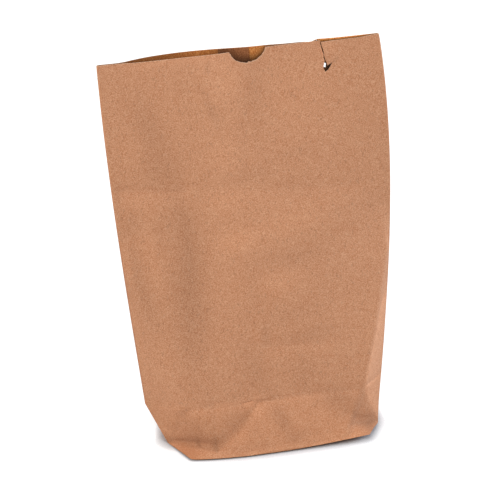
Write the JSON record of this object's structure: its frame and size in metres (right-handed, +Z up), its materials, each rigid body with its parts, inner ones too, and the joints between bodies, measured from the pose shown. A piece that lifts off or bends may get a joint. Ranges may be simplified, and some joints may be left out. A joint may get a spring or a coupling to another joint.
{
  "type": "paper lunch bag",
  "caption": "Open brown kraft paper bag with a folded hexagonal bottom, no side gussets, a thumb notch in its front edge and a tear at its mouth.",
  "frame": {"origin": "on the resting face of the bottom, midway between the ends of the base and midway between its front and back corners", "axes": "+Z up towards the mouth, the front with the thumb notch towards -Y, +X to the right as seen from the front"},
  "size_m": [0.1918, 0.0744, 0.2875],
  "materials": {
    "kraft_paper": "matt, uncoated"
  },
  "bodies": {
    "root": {"bag": "kraft_paper"}
  },
  "joints": []
}
